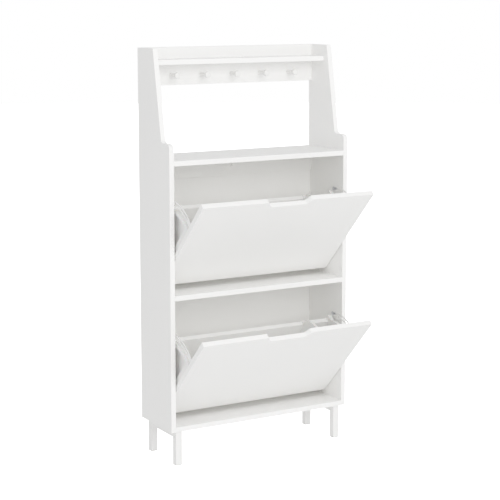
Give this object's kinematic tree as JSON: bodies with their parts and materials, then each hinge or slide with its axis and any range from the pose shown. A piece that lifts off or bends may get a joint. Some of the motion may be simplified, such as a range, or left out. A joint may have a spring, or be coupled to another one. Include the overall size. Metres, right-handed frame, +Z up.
{
  "type": "shoe cabinet",
  "caption": "Tall shallow shoe cabinet: two tilting shoe bins with finger recesses, key-hook hutch with a top shelf, and two square-tube leg frames.",
  "frame": {"origin": "on the floor, at the middle of the whole object's box with both bins open", "axes": "+Z up, the bins open towards -Y, +X to the right of a person facing the front"},
  "size_m": [0.6, 0.36, 1.2],
  "materials": {
    "white_board": "white melamine-faced board, satin, edge banded",
    "back_sheet": "white lacquered hardboard",
    "white_lacquer": "white lacquered turned wood",
    "white_steel": "white powder coat",
    "white_plastic": "moulded white plastic",
    "foot_plastic": "pale plastic glide",
    "nylon": "natural nylon",
    "zinc_steel": "zinc plated steel",
    "screw_zinc": "bright zinc",
    "cam_zinc": "die-cast zinc",
    "beech": "raw beech"
  },
  "bodies": {
    "cabinet": {"left_side_panel": "white_board", "right_side_panel": "white_board", "bottom_board": "white_board", "middle_shelf": "white_board", "main_shelf": "white_board", "top_shelf": "white_board", "hook_board": "white_board", "back_rail": "white_board", "lower_back_panel": "back_sheet", "upper_back_panel": "back_sheet", "left_leg_frame": "white_steel", "right_leg_frame": "white_steel", "foot_cap_front_left": "foot_plastic", "foot_cap_rear_left": "foot_plastic", "foot_cap_front_right": "foot_plastic", "foot_cap_rear_right": "foot_plastic", "leg_frame_screws": "screw_zinc", "hook_1": "white_lacquer", "hook_2": "white_lacquer", "hook_3": "white_lacquer", "hook_4": "white_lacquer", "hook_5": "white_lacquer", "hook_screws": "screw_zinc", "cam_locks": "cam_zinc", "cam_bolts": "screw_zinc", "dowels": "beech", "pivot_pins": "zinc_steel", "stay_studs": "zinc_steel"},
    "lower_bin": {"lower_flap_panel": "white_board", "lower_left_bin_plate": "white_plastic", "lower_right_bin_plate": "white_plastic", "lower_left_stay": "white_steel", "lower_right_stay": "white_steel", "lower_bin_floor": "white_board", "lower_bin_back": "white_board", "lower_bin_divider": "white_plastic", "lower_bin_pivot_bushes": "nylon", "lower_bin_plate_screws": "screw_zinc", "lower_bin_stay_screws": "screw_zinc", "lower_bin_board_screws": "screw_zinc"},
    "upper_bin": {"upper_flap_panel": "white_board", "upper_left_bin_plate": "white_plastic", "upper_right_bin_plate": "white_plastic", "upper_left_stay": "white_steel", "upper_right_stay": "white_steel", "upper_bin_floor": "white_board", "upper_bin_back": "white_board", "upper_bin_divider": "white_plastic", "upper_bin_pivot_bushes": "nylon", "upper_bin_plate_screws": "screw_zinc", "upper_bin_stay_screws": "screw_zinc", "upper_bin_board_screws": "screw_zinc"}
  },
  "joints": [
    {"name": "lower_bin_tilt", "type": "hinge", "parent": "cabinet", "child": "lower_bin", "pos_m": [0, 0.01717, 0.235], "axis": [-1, 0, 0], "range_deg": [0, 44.5]},
    {"name": "upper_bin_tilt", "type": "hinge", "parent": "cabinet", "child": "upper_bin", "pos_m": [0, 0.01717, 0.621], "axis": [-1, 0, 0], "range_deg": [0, 44.5]}
  ]
}
